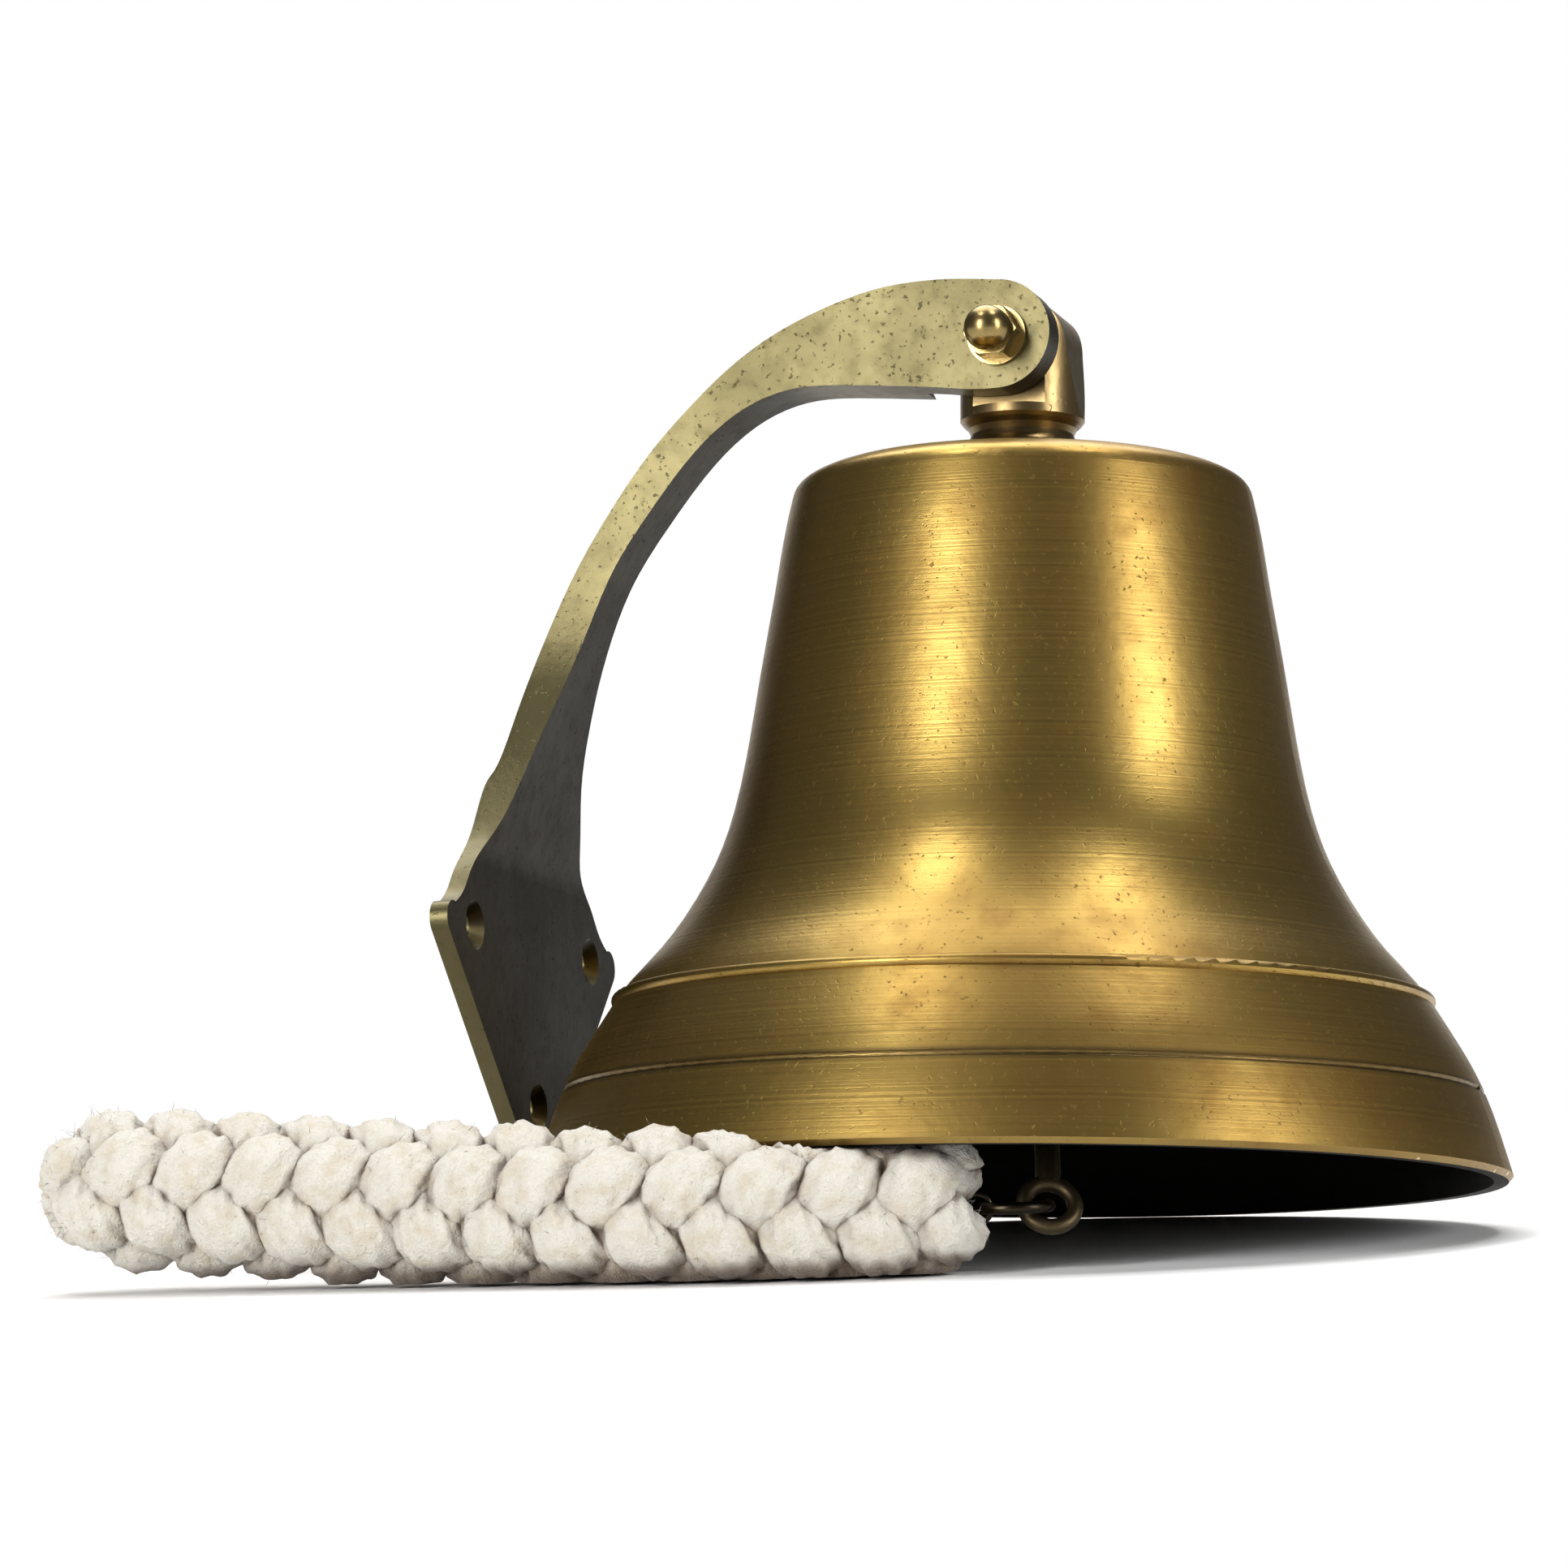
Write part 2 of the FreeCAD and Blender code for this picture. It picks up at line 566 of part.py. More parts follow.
main()
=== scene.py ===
import bpy
import json
import math
import random
from mathutils import Matrix, Vector, noise


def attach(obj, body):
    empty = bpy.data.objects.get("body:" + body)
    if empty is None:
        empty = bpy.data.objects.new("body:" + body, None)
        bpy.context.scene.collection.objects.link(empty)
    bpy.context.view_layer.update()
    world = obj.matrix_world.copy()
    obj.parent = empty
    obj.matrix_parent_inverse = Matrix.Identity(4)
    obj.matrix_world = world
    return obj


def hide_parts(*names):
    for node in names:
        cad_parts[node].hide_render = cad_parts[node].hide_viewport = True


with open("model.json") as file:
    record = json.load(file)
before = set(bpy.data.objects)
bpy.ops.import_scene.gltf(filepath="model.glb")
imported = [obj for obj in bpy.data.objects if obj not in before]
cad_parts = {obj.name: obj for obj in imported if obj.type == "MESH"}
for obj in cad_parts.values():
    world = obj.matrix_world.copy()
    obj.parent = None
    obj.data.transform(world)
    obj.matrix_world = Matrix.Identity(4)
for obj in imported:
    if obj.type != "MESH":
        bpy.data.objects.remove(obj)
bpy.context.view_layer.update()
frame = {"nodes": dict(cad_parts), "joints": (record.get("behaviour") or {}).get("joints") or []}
nodes = frame["nodes"]

# ---------------------------------------------------------------------------
# Camera: long lens, low, a little to the bell's right of square on.
# It stands far off, so the bell's rim shows as a thin ellipse.
# All lengths here are in metres.
# ---------------------------------------------------------------------------
camera_at = Vector((0.33727, -1.18315, 0.07135))
camera_aim = Vector((-0.30758, 0.95128, 0.02144)).normalized()
camera_up = Vector((0.03885, -0.00996, 0.9992))
camera_right = camera_aim.cross(camera_up).normalized()
camera_up = camera_right.cross(camera_aim)
camera_data = bpy.data.cameras.new("camera")
camera_data.lens = 135.387
camera_data.sensor_width = 36.0
camera = bpy.data.objects.new("camera", camera_data)
turn = Matrix((camera_right, camera_up, -camera_aim)).transposed().to_4x4()
camera.matrix_world = Matrix.Translation(camera_at) @ turn
bpy.context.scene.collection.objects.link(camera)
bpy.context.scene.camera = camera

# ---------------------------------------------------------------------------
# The bell's own axis and mouth, from the joint it swings on.
# ---------------------------------------------------------------------------
swing = next(j for j in frame["joints"] if j["name"] == "bell_swing")
pivot_at = Vector(swing["pos_m"])
pivot_axis = Vector(swing["axis"]).normalized()
pivot_height = 0.176        # from the mouth up the bell's axis to the pivot
bell_axis = Vector((1, 0, 0)).cross(pivot_axis).normalized()
mouth_at = pivot_at - bell_axis * pivot_height


# ---------------------------------------------------------------------------
# Mesh helpers.
# ---------------------------------------------------------------------------
def add_mesh(name, points, faces, smooth=True):
    mesh = bpy.data.meshes.new(name)
    mesh.from_pydata([tuple(p) for p in points], [], faces)
    mesh.validate()
    if smooth:
        mesh.shade_smooth()
    made = bpy.data.objects.new(name, mesh)
    bpy.context.scene.collection.objects.link(made)
    return made


def around(side, up, angle):
    """The direction turned from side towards up by an angle."""
    return side * math.cos(angle) + up * math.sin(angle)


def tube_faces(base, rings, sides, capped=True):
    """Faces of a tube whose rings of points follow one another from base."""
    faces = []
    last = base + (rings - 1) * sides
    for row in range(base, last, sides):
        above = row + sides
        for j in range(sides):
            k = (j + 1) % sides
            faces.append((row + j, row + k, above + k, above + j))
    if capped:
        faces.append(tuple(base + j for j in reversed(range(sides))))
        faces.append(tuple(last + j for j in range(sides)))
    return faces


# ---------------------------------------------------------------------------
# Rope lanyard: thick soft cotton, six strands plaited three each way round,
# laid on the table under the bell's front rim, its far end crowned shut.
# ---------------------------------------------------------------------------
rope_route = [(0.00591, -0.08767, 0.01242), (-0.02611, -0.10216, 0.01342),
              (-0.08611, -0.10116, 0.01542), (-0.15011, -0.10716, 0.02042)]
rope_exit = (0.01420, -0.08418, 0.01242)


def rope_line(route):
    """Points along the route's own smooth spline."""
    data = bpy.data.curves.new("rope_route", "CURVE")
    data.dimensions = "3D"
    data.resolution_u = 64
    line = data.splines.new("NURBS")
    line.points.add(len(route) - 1)
    for point, at in zip(line.points, route):
        point.co = (*at, 1.0)
    line.order_u = 3
    line.use_endpoint_u = True
    holder = bpy.data.objects.new("rope_route", data)
    bpy.context.scene.collection.objects.link(holder)
    mesh = bpy.data.meshes.new_from_object(holder)
    points = [v.co.copy() for v in mesh.vertices]
    bpy.data.objects.remove(holder)
    return points


rope_path = rope_line(rope_route)
rope_run = [0.0]
for here, there in zip(rope_path, rope_path[1:]):
    rope_run.append(rope_run[-1] + (there - here).length)
rope_length = rope_run[-1]


def rope_place(s):
    """Middle, forward, side and up directions at distance s along the rope."""
    clipped = min(max(s, 0.0), rope_length - 1e-6)
    k = max(i for i, run in enumerate(rope_run) if run <= clipped)
    k = min(k, len(rope_path) - 2)
    part = (clipped - rope_run[k]) / (rope_run[k + 1] - rope_run[k])
    ahead = min(k + 3, len(rope_path) - 1)
    forward = (rope_path[ahead] - rope_path[max(k - 2, 0)]).normalized()
    at = rope_path[k].lerp(rope_path[k + 1], part) + forward * (s - clipped)
    side = forward.cross(Vector((0, 0, 1))).normalized()
    return at, forward, side, side.cross(forward)


lip_radius, lip_half_wide = 0.0988, 0.0036      # the band of lip the rope lies under
lip_gap, lip_rise = 0.0006, 0.9                 # clear of it, and swelling beside it
table_gap, table_press = 0.0004, 0.12           # clear of the table, and what is left
table_press_from = -0.0012                      # of the rope's roundness below it


def under_rim(p):
    """Press a rope point down under the bell's rim and flat on the table."""
    q = p - mouth_at
    height = q.dot(bell_axis)
    reach = (q - bell_axis * height).length
    limit = -lip_gap + lip_rise * max(0.0, abs(reach - lip_radius) - lip_half_wide)
    if height > limit:
        p = p - bell_axis * (height - limit)
    p.z = max(p.z, table_gap + table_press * max(0.0, p.z - table_press_from))
    return p


strand_count = 6
strand_pitch = 0.0425       # one full turn of a strand round the rope
strand_reach = 0.0090       # strand middle to the rope's middle
strand_weave = 0.0026       # how far a strand goes over and under
strand_wide, strand_thick = 0.0069, 0.0050
strand_lag = 0.38           # how far the outer stretches lie along the rope
strand_stray = 0.06         # uneven laying, as a share of the reach
plait_turn = math.radians(30)
crown_length = 0.016
crown_before = 0.004        # the rope starts to close this far before its end
crown_open = 0.12           # least share of the reach, at the very end
inner_length = 0.010        # strands turned back over the whipping
inner_narrow = 0.3          # share of the reach lost there
end_size = 0.35             # a strand's share of its size where the rope closes
yarns, yarn_pitch, yarn_depth = 9, 0.0045, 0.05
lump_depth = 0.03
fluff_coarse, fluff_fine = 0.0006, 0.0003
rope_rings, rope_round = 300, 40


def strand_line(strand, hand):
    """A strand's middles, with their outward way, distance along and fullness."""
    first = 2 * math.pi * (strand % 3) / 3
    whole = rope_length + crown_length + inner_length
    middles = []
    for i in range(rope_rings):
        s = whole * i / (rope_rings - 1) - inner_length
        at, forward, side, up = rope_place(s)
        even = hand * 2 * math.pi * s / strand_pitch + first
        angle = even - strand_lag / 3 * hand * math.sin(3 * even)
        past = max(0.0, (s - rope_length + crown_before) / (crown_length + crown_before))
        before = max(0.0, -s / inner_length)
        full = math.sqrt(max(0.0, 1 - past ** 2)) * (1 - inner_narrow * before ** 2)
        reach = strand_reach + hand * strand_weave * math.cos(3 * even)
        reach *= 1 + strand_stray * noise.noise(Vector((s * 45, strand * 3.7, 0)))
        out = around(side, up, angle + plait_turn)
        middles.append((at + out * reach * max(full, crown_open), out, s, full))
    return middles


def plait():
    """Six strand tubes with twisted yarns, over one and under one."""
    points, faces = [], []
    for strand in range(strand_count):
        hand = 1 if strand < strand_count / 2 else -1
        faces += tube_faces(len(points), rope_rings, rope_round)
        middles = strand_line(strand, hand)
        for i, (middle, out, s, full) in enumerate(middles):
            ahead = middles[min(i + 1, rope_rings - 1)][0] - middles[max(i - 1, 0)][0]
            ahead.normalize()
            wide = out.cross(ahead).normalized()
            thick = ahead.cross(wide).normalized()
            size = end_size + (1 - end_size) * full
            for j in range(rope_round):
                turn_by = 2 * math.pi * j / rope_round
                twist = yarns * turn_by + hand * 2 * math.pi * s / yarn_pitch
                swell = size * (1 + yarn_depth * math.cos(twist)
                                + lump_depth * math.sin(s * 1400 + strand * 2.1))
                p = middle + wide * (strand_wide * swell * math.cos(turn_by))
                p += thick * (strand_thick * swell * math.sin(turn_by))
                fluff = fluff_coarse * noise.noise(p * 330)
                fluff += fluff_fine * noise.noise(p * 1100)
                p += (p - middle).normalized() * fluff
                points.append(under_rim(p))
    return points, faces


# ---------------------------------------------------------------------------
# Shader helpers. A Value stands for one socket, and sums on it add nodes.
# ---------------------------------------------------------------------------
class Value:
    """A shader socket: sums on it add Math nodes to its material."""

    def __init__(self, tree, socket=None):
        self.tree, self.socket = tree, socket

    def add(self, kind, settings, sockets, out=0):
        node = self.tree.nodes.new("ShaderNode" + kind)
        for key, value in settings.items():
            setattr(node, key, value)
        for key, value in sockets.items():
            if isinstance(value, Value):
                self.tree.links.new(value.socket, node.inputs[key])
            else:
                node.inputs[key].default_value = value
        return Value(self.tree, node.outputs[out])

    def sum(self, operation, a, b):
        return self.add("Math", {"operation": operation}, {0: a, 1: b})

    def __add__(self, other):
        return self.sum("ADD", self, other)

    def __radd__(self, other):
        return self.sum("ADD", other, self)

    def __sub__(self, other):
        return self.sum("SUBTRACT", self, other)

    def __rsub__(self, other):
        return self.sum("SUBTRACT", other, self)

    def __mul__(self, other):
        return self.sum("MULTIPLY", self, other)

    def __rmul__(self, other):
        return self.sum("MULTIPLY", other, self)

    def __abs__(self):
        return self.add("Math", {"operation": "ABSOLUTE"}, {0: self})

    def ramp(self, low, high):
        """0 below low, 1 above high, smooth between."""
        return self.add("MapRange", {"interpolation_type": "SMOOTHSTEP"},
                        {"Value": self, "From Min": low, "From Max": high})

    def noise(self, where, scale, detail):
        return self.add("TexNoise", {}, {"Vector": where, "Scale": scale, "Detail": detail})

    def blend(self, mask, a, b):
        return self.add("Mix", {"data_type": "RGBA"}, {0: mask, 6: a, 7: b}, 2)

    def vector(self, operation, inputs, out=0):
        return self.add("VectorMath", {"operation": operation}, inputs, out)

    def bump(self, strength, distance, height):
        return self.add("Bump", {}, {"Strength": strength, "Distance": distance,
                                     "Height": height})


def colour(red, green, blue):
    return (red, green, blue, 1.0)


def new_material(name):
    """An empty material with its Principled shader and object coordinates."""
    made = bpy.data.materials.new(name)
    made.use_nodes = True
    start = Value(made.node_tree)
    where = start.add("TexCoord", {}, {}, "Object")
    return made, made.node_tree.nodes["Principled BSDF"], start, where


def plug(shader, **inputs):
    for name, value in inputs.items():
        socket = shader.inputs[name.replace("_", " ")]
        if isinstance(value, Value):
            value.tree.links.new(value.socket, socket)
        else:
            socket.default_value = value


def dress(made, material):
    made.data.materials.clear()
    made.data.materials.append(material)


def dress_nodes(material, *names):
    for name in names:
        dress(nodes[name], material)


def cotton(name, clean, shade, fibre_scale):
    """Soft spun cotton: painted shade in the creases, fine fibres, a little sheen."""
    made, shader, start, where = new_material(name)
    cloud = start.noise(where, 240.0, 6.0).ramp(0.42, 0.68)
    fibre = start.noise(where, fibre_scale, 6.0)
    nap = start.noise(where, fibre_scale * 0.35, 4.0)
    # painted shade: ambient occlusion darkens the colour in the creases between strands
    painted_crease_shade = start.add("AmbientOcclusion", {"samples": 8},
                       {"Distance": 0.006}, "AO").ramp(0.30, 0.95)
    soiled = colour(clean[0] * 0.90, clean[1] * 0.85, clean[2] * 0.77)
    base = start.blend(cloud, clean, soiled)
    base = start.blend(painted_crease_shade, shade, base)
    bump = start.bump(0.8, 0.0012, fibre * 0.6 + nap)
    plug(shader, Base_Color=base, Roughness=0.86 + 0.1 * fibre, Normal=bump,
         Sheen_Weight=0.25, Sheen_Roughness=0.5)
    return made


rope = add_mesh("rope", *plait())
rope_cotton = cotton("rope_cotton", colour(0.66, 0.625, 0.555), colour(0.17, 0.12, 0.08),
                     1900.0)
dress(rope, rope_cotton)
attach(rope, "lanyard")
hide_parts("lanyard_rope", "rope_end")

# ---------------------------------------------------------------------------
# Loose fibres: short cotton hairs that stand off the worn rope, more of them
# and longer at its far end. Each is a thin bent three-sided hair.
# ---------------------------------------------------------------------------
hair_count, tuft_count = 2600, 420
hair_thick = 0.00005
hair_short, hair_long, tuft_longer = 0.0007, 0.0022, 1.6
hair_rings = ((-0.1, 1.0), (0.55, 0.8), (1.0, 0.15))    # shares of length and thickness
hair_turns = (0, 2.1, 4.2)
tuft_reach, tuft_from = 0.017, 0.002                    # round the rope's far end
root_least_z, hair_least_z = 0.002, 0.0003              # hairs stay off the table


def loose_fibres():
    draw = random.Random(41)
    far = rope_path[-1]
    far_way = rope_place(rope_length)[1]
    skin = rope.data.vertices
    ends = [v.index for v in skin if (v.co - far).length < tuft_reach
            and (v.co - far).dot(far_way) > tuft_from]
    roots = [draw.randrange(len(skin)) for _ in range(hair_count)]
    roots += [draw.choice(ends) for _ in range(tuft_count)]
    points, faces = [], []
    for n, root in enumerate(roots):
        vertex = skin[root]
        if vertex.co.z < root_least_z:
            continue
        long = draw.uniform(hair_short, hair_long) * (tuft_longer if n >= hair_count else 1.0)
        lean = Vector([draw.uniform(-1, 1) for _ in range(3)])
        bend = Vector([draw.uniform(-1, 1) for _ in range(3)])
        out = (vertex.normal + lean * 0.7).normalized()
        side = out.orthogonal().normalized()
        other = out.cross(side)
        faces += tube_faces(len(points), len(hair_rings), len(hair_turns))
        for share, thin in hair_rings:
            at = vertex.co + out * long * share + bend * long * 0.35 * max(share, 0) ** 2
            for turn_by in hair_turns:
                p = at + around(side, other, turn_by) * hair_thick * thin
                p.z = max(p.z, hair_least_z)
                points.append(p)
    return points, faces


fibres = add_mesh("rope_fibres", *loose_fibres())
dress(fibres, rope_cotton)
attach(fibres, "lanyard")

# ---------------------------------------------------------------------------
# Whipping: waxed cotton twine wound tight round the rope's inner end,
# over the pin that joins the rope to its ring.
# ---------------------------------------------------------------------------
whip_from = Vector(rope_exit)
whip_to = Vector(rope_route[0])
whip_radius = 0.0060
twine_radius = 0.0006
twine_sides, twine_steps = 8, 40        # round the twine, and along each turn of it
core_sides = 32
core_rings = ((0.0, 0.3), (0.0, 0.8), (0.0004, 0.97),       # shares of the band's
              (0.5, 1.0), (1.0, 1.0), (1.0, 0.3))           # length and radius


def twine_coil():
    """One long twine wound side by side from end to end of the band."""
    band = whip_to - whip_from
    ahead = band.normalized()
    side = ahead.cross(Vector((0, 0, 1))).normalized()
    up = side.cross(ahead)
    turns = band.length / (2 * twine_radius)
    steps = int(turns * twine_steps)
    points = []
    for i in range(steps + 1):
        out = around(side, up, 2 * math.pi * turns * i / steps)
        middle = whip_from + band * (i / steps)
        for j in range(twine_sides):
            round_by = 2 * math.pi * j / twine_sides
            points.append(middle + out * (whip_radius + twine_radius * math.cos(round_by))
                          + ahead * (twine_radius * math.sin(round_by)))
    faces = tube_faces(0, steps + 1, twine_sides, capped=False)
    faces.append(tuple(range(twine_sides)))
    faces.append(tuple(steps * twine_sides + j for j in reversed(range(twine_sides))))
    # the core that the turns grip, slightly domed at its free face
    faces += tube_faces(len(points), len(core_rings), core_sides, capped=False)
    for along, share in core_rings:
        for j in range(core_sides):
            out = around(side, up, 2 * math.pi * j / core_sides)
            points.append(whip_from + band * along + out * whip_radius * share)
    return points, faces


whipping = add_mesh("whipping", *twine_coil())
whipping_twine = cotton("whipping_twine", colour(0.60, 0.54, 0.44), colour(0.30, 0.22, 0.15),
                        3200.0)
dress(whipping, whipping_twine)
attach(whipping, "lanyard")
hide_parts("rope_whipping")


# ---------------------------------------------------------------------------
# Antiqued brass, which every metal piece is made of in its own tone.
# ---------------------------------------------------------------------------
def brass_layers(name, bright, brown, gloss, mottle, speckle):
    """Cloudy brown patina, fine dark specks and rubbed edges on brass."""
    made, shader, start, where = new_material(name)
    cloud = start.noise(where, mottle, 6.0).ramp(0.36, 0.72)
    streak = start.noise(where, mottle * 7, 4.0).ramp(0.42, 0.75)
    speck = start.noise(where, 950.0, 2.0).ramp(0.63, 0.74)
    worn = start.add("NewGeometry", {}, {}, "Pointiness").ramp(0.515, 0.60)
    patina = cloud * 0.55 + streak * 0.30
    base = start.blend(patina, bright, brown)
    base = start.blend(speck * speckle, base, colour(*(c * 0.25 for c in brown[:3])))
    rubbed = colour(*(min(1.0, c * 1.25) for c in bright[:3]))
    base = start.blend(worn * 0.6, base, rubbed)
    rough = gloss + 0.14 * patina + 0.16 * speck
    rise = start.noise(where, 420.0, 5.0) * 0.7 - speck * 0.5
    return made, shader, start, where, base, rough, rise


def antique_brass(name, bright, brown, gloss, mottle, grain=0.10):
    """Brass with no more to it than its patina and a satin cast surface."""
    made, shader, start, where, base, rough, rise = brass_layers(
        name, bright, brown, gloss, mottle, speckle=0.35)
    plug(shader, Base_Color=base, Roughness=rough, Normal=start.bump(grain, 0.0004, rise),
         Metallic=1.0)
    return made


# ---------------------------------------------------------------------------
# Bell: cast brass, turned on a lathe outside, then antiqued and rubbed back.
# The thin line cut near its lip is darkened, and its hollow is coloured nearly black as painted
# shade.
# ---------------------------------------------------------------------------
line_height = 0.0181        # the cut line above the mouth


def bell_finish():
    """The bell's brass, with lathe rings, a dark cut line and nearly black painted shade within
    its mouth.
    """
    made, shader, start, where, base, rough, rise = brass_layers(
        "bell_brass", colour(0.37, 0.25, 0.068), colour(0.17, 0.088, 0.022),
        gloss=0.27, mottle=16.0, speckle=0.5)
    axis = tuple(bell_axis)
    spot = start.vector("SUBTRACT", {0: where, 1: tuple(mouth_at)})
    height = start.vector("DOT_PRODUCT", {0: spot, 1: axis}, "Value")
    along = start.vector("SCALE", {0: axis, "Scale": height})
    outward = start.vector("NORMALIZE", {0: start.vector("SUBTRACT", {0: spot, 1: along})})
    outward = start.vector("ADD", {0: outward, 1: axis})
    normal = start.add("NewGeometry", {}, {}, "Normal")
    facing = start.vector("DOT_PRODUCT", {0: normal, 1: outward}, "Value")
    # painted shade: the bell's hollow faces are coloured nearly black, for the shadow in its mouth
    painted_inside_shade = 1.0 - facing.ramp(-0.25, 0.05)
    rings = start.add("TexNoise", {"noise_dimensions": "1D"},
                      {"W": height, "Scale": 1500.0, "Detail": 3.0})
    near_line = 1.0 - abs(height - line_height).ramp(0.0004, 0.0016)
    lip = 1.0 - height.ramp(0.0004, 0.0022)
    chips = start.noise(where, 240.0, 2.0).ramp(0.66, 0.70) * (1.0 - height.ramp(0.0006, 0.0016))
    base = start.blend(near_line * 0.75, base, colour(0.10, 0.07, 0.03))
    base = start.blend(lip * 0.35, base, colour(0.20, 0.14, 0.06))
    base = start.blend(chips, base, colour(0.80, 0.68, 0.42))
    base = start.blend(painted_inside_shade, base, colour(0.012, 0.010, 0.008))
    plug(shader, Base_Color=base, Roughness=rough + 0.10 * rings + 0.35 * painted_inside_shade,
         Normal=start.bump(0.14, 0.0004, rise + rings * 0.5), Metallic=1.0 - 0.6 * painted_inside_shade)
    return made


dress_nodes(bell_finish(), "bell_shell")

# ---------------------------------------------------------------------------
# Hanger: turned brass post screwed to the crown, its ear bored for the bush.
# ---------------------------------------------------------------------------
dress_nodes(antique_brass("hanger_brass", colour(0.24, 0.17, 0.075),
                          colour(0.055, 0.038, 0.02), 0.30, 40.0, 0.16), "hanger")

# ---------------------------------------------------------------------------
# Bracket: one brass casting, filed and antiqued with the bell.
# Its tongue bolts to the ear and its plate screws to the wall.
# ---------------------------------------------------------------------------
# faces turned this way, towards the bell, get painted shade
painted_shade_way = (0.86, 0.0, -0.5)        # from the arm to the bell


def casting_finish():
    """The bracket's brass, with painted shade: nearly black on the faces that look at the bell."""
    made, shader, start, where, base, rough, rise = brass_layers(
        "casting_brass", colour(0.105, 0.090, 0.043), colour(0.055, 0.043, 0.020),
        gloss=0.38, mottle=34.0, speckle=0.35)
    normal = start.add("NewGeometry", {}, {}, "Normal")
    # painted shade: faces turned towards the bell are coloured nearly black, for shadow and dark
    # reflection
    black = start.vector("DOT_PRODUCT", {0: normal, 1: painted_shade_way}, "Value").ramp(0.35, 0.75)
    base = start.blend(black * 0.92, base, colour(0.026, 0.021, 0.013))
    plug(shader, Base_Color=base, Roughness=rough + 0.08 * black,
         Normal=start.bump(0.22, 0.0004, rise), Metallic=1.0)
    return made


dress_nodes(casting_finish(), "bracket_casting")

# ---------------------------------------------------------------------------
# Pivot hardware: brass bolt, washers and nuts, with a dark fibre washer
# between tongue and ear, and a bronze bush pressed into the ear.
# ---------------------------------------------------------------------------
hardware_brass = antique_brass("hardware_brass", colour(0.34, 0.25, 0.10),
                               colour(0.10, 0.065, 0.03), 0.26, 60.0)
dress_nodes(hardware_brass, "pivot_bolt", "near_washer", "far_washer", "acorn_nut", "far_nut",
            "clapper_eye_bolt", "clamp_washer", "clamp_nut", "ball_nut")
dress_nodes(antique_brass("bush_bronze", colour(0.50, 0.34, 0.18), colour(0.26, 0.16, 0.09),
                          0.34, 80.0), "pivot_bush")

thread_from, thread_to, thread_pitch = 0.0190, 0.0343, 0.0010       # along the bolt
thread_root, thread_crest, thread_tall = 0.00296, 0.003, 0.00022
thread_root_half, thread_crest_half = 0.00046, 0.00006
thread_steps = 32                                                   # to a turn


def bolt_thread():
    """The thread that stands out past the far nut, one ridge wound round the bolt."""
    side = pivot_axis.orthogonal().normalized()
    other = pivot_axis.cross(side)
    steps = int((thread_to - thread_from) / thread_pitch * thread_steps)
    points, faces = [], []
    for i in range(steps + 1):
        out = around(side, other, 2 * math.pi * i / thread_steps)
        middle = pivot_at + pivot_axis * (thread_from + thread_pitch * i / thread_steps)
        run_out = min(1.0, i / 16, (steps - i) / 16)
        crest = thread_crest + thread_tall * run_out
        for reach, step in ((thread_root, -thread_root_half), (crest, -thread_crest_half),
                            (crest, thread_crest_half), (thread_root, thread_root_half)):
            points.append(middle + out * reach + pivot_axis * step)
    for row in range(0, steps * 4, 4):
        for j in range(4):
            k = (j + 1) % 4
            faces.append((row + j, row + 4 + j, row + 4 + k, row + k))
    faces.append((0, 1, 2, 3))
    faces.append(tuple(steps * 4 + j for j in (3, 2, 1, 0)))
    return points, faces


thread = add_mesh("bolt_thread", *bolt_thread(), smooth=False)
dress(thread, hardware_brass)
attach(thread, "bracket")


def pressed_fibre():
    """Pressed dark fibre board with pale flecks."""
    made, shader, start, where = new_material("washer_fibre")
    fleck = start.noise(where, 2600.0, 4.0)
    base = start.blend(fleck.ramp(0.45, 0.7), colour(0.05, 0.035, 0.025),
                       colour(0.13, 0.10, 0.07))
    plug(shader, Base_Color=base, Roughness=0.75 + 0.15 * fleck,
         Normal=start.bump(0.3, 0.0002, fleck))
    return made


dress_nodes(pressed_fibre(), "thrust_washer")

# ---------------------------------------------------------------------------
# Clapper: dull cast brass rod, ball and tail, with a small ring and pin that
# carry the lanyard. All are coloured dark as painted shade, the ring and pin nearly black.
# ---------------------------------------------------------------------------
# painted shade: rod, ball and tail are coloured dark for the shadow in the bell's mouth
dress_nodes(antique_brass("clapper_brass", colour(0.10, 0.075, 0.04),
                          colour(0.045, 0.034, 0.02), 0.42, 50.0, 0.35),
            "clapper_rod", "clapper_ball", "clapper_tail")
# painted shade: ring and pin are coloured nearly black for the shadow in the bell's mouth
dress_nodes(antique_brass("ring_brass", colour(0.035, 0.027, 0.017),
                          colour(0.02, 0.016, 0.011), 0.30, 90.0),
            "lanyard_ring", "eye_pin")

# ---------------------------------------------------------------------------
# Table: pale and matt round the bell, and glowing even white farther out.
# ---------------------------------------------------------------------------
table_radius, table_sides, table_z = 14, 96, -0.0001
table_matt_to, table_white_from = 0.17, 0.62
black, white = colour(0.0, 0.0, 0.0), colour(1.0, 1.0, 1.0)

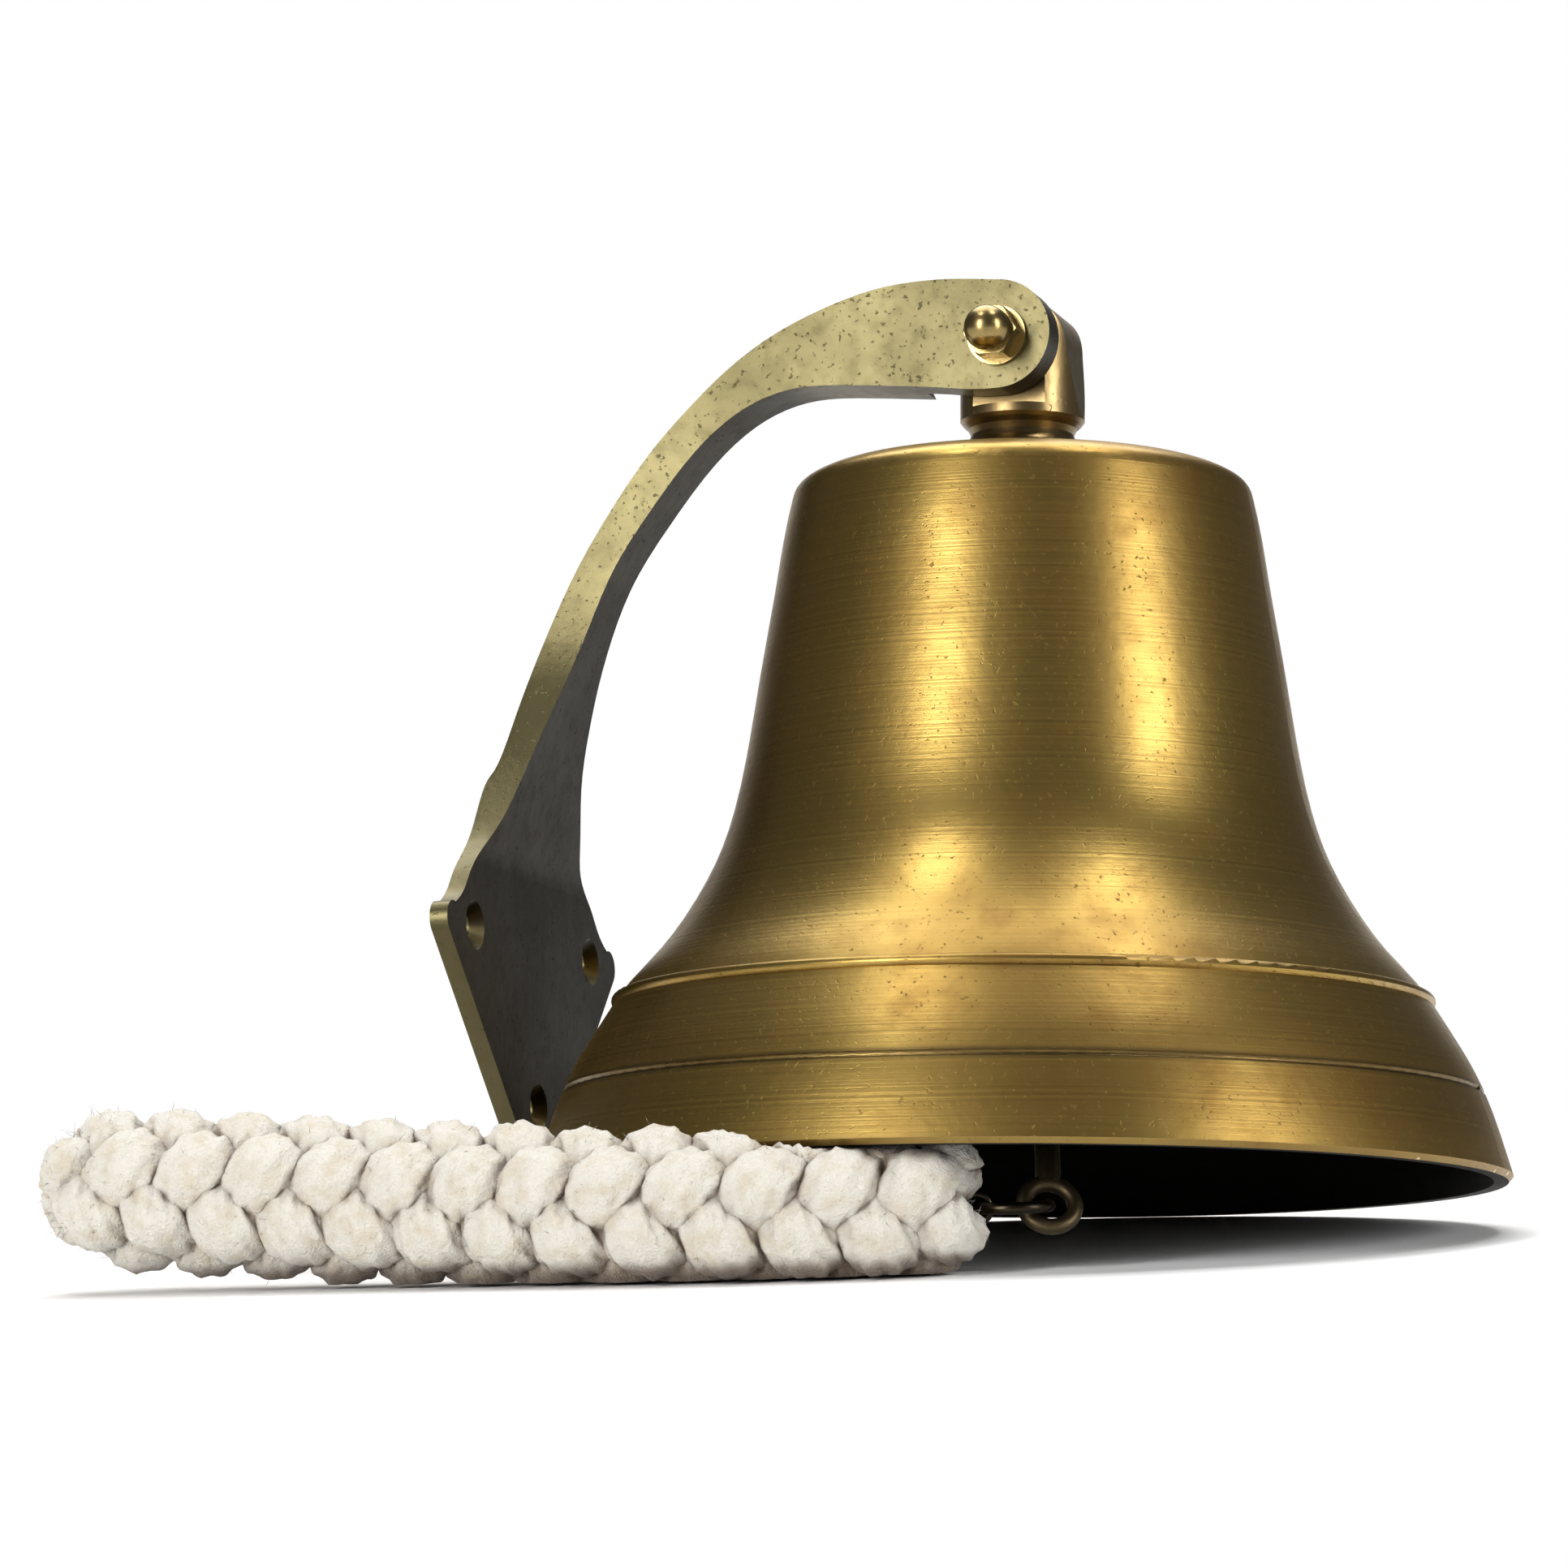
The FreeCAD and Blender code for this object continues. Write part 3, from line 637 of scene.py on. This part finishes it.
table_points = [(0.0, 0.0, table_z)]
for i in range(table_sides):
    angle = 2 * math.pi * i / table_sides
    table_points.append((table_radius * math.cos(angle), table_radius * math.sin(angle), table_z))
table_faces = [(0, i + 1, (i + 1) % table_sides + 1) for i in range(table_sides)]
table = add_mesh("table", table_points, table_faces, smooth=False)
table_paint, table_shader, table_start, table_where = new_material("table_paint")
fleck = table_start.noise(table_where, 300.0, 3.0)
reach = table_start.vector("LENGTH", {0: table_where}, "Value")
far_out = reach.ramp(table_matt_to, table_white_from)
tone = table_start.blend(fleck, colour(0.86, 0.86, 0.86), colour(0.90, 0.90, 0.90))
plug(table_shader, Roughness=0.55 + 0.1 * fleck,
     Base_Color=table_start.blend(far_out, tone, black),
     Emission_Color=table_start.blend(far_out, black, white),
     Emission_Strength=1.0, Specular_IOR_Level=0.0)
dress(table, table_paint)

# ---------------------------------------------------------------------------
# Surround: dark grey, but for one white patch. The patch lies the way the
# camera looks, level, so the bell stands against white from there only.
# ---------------------------------------------------------------------------
patch_way = (-0.3078, 0.9515, 0.0)
patch_edge, patch_full = 0.88, 0.97         # cosines of the angle from its middle

world = bpy.data.worlds.new("surround")
bpy.context.scene.world = world
world.use_nodes = True
air = Value(world.node_tree)
compass = air.add("TexCoord", {}, {}, "Generated")
patch = air.vector("DOT_PRODUCT", {0: compass, 1: patch_way}, "Value").ramp(patch_edge, patch_full)
backdrop = world.node_tree.nodes["Background"]
plug(backdrop, Color=air.blend(patch, colour(0.08, 0.08, 0.08), white), Strength=1.0)

# ---------------------------------------------------------------------------
# Studio light: two tall soft boxes in front, a small high lamp beside each,
# and a broad box overhead.
# ---------------------------------------------------------------------------
target = Vector((0.0, 0.0, 0.09))
away = -Vector((camera_aim.x, camera_aim.y, 0)).normalized()


def soft_box(name, degrees, distance, height, wide, tall, power):
    """A soft box turned round from the camera's side by some degrees."""
    data = bpy.data.lights.new(name, "AREA")
    data.shape = "RECTANGLE"
    data.size, data.size_y, data.energy = wide, tall, power
    made = bpy.data.objects.new(name, data)
    spot = Matrix.Rotation(math.radians(degrees), 3, "Z") @ away * distance
    made.location = spot + Vector((0, 0, height))
    made.rotation_euler = (target - made.location).to_track_quat("-Z", "Y").to_euler()
    made.visible_camera = False
    bpy.context.scene.collection.objects.link(made)


for box in (("left_box", -38, 1.5, 0.55, 0.34, 0.9, 19),
            ("right_box", 57, 1.5, 0.55, 0.30, 0.9, 13),
            ("left_lamp", -58, 0.5, 1.35, 0.16, 0.16, 3.2),
            ("right_lamp", 78, 0.5, 1.35, 0.16, 0.16, 3.2),
            ("top_box", 180, 0.85, 1.8, 1.7, 1.7, 40)):
    soft_box(*box)
bpy.context.scene.view_settings.view_transform = "Standard"
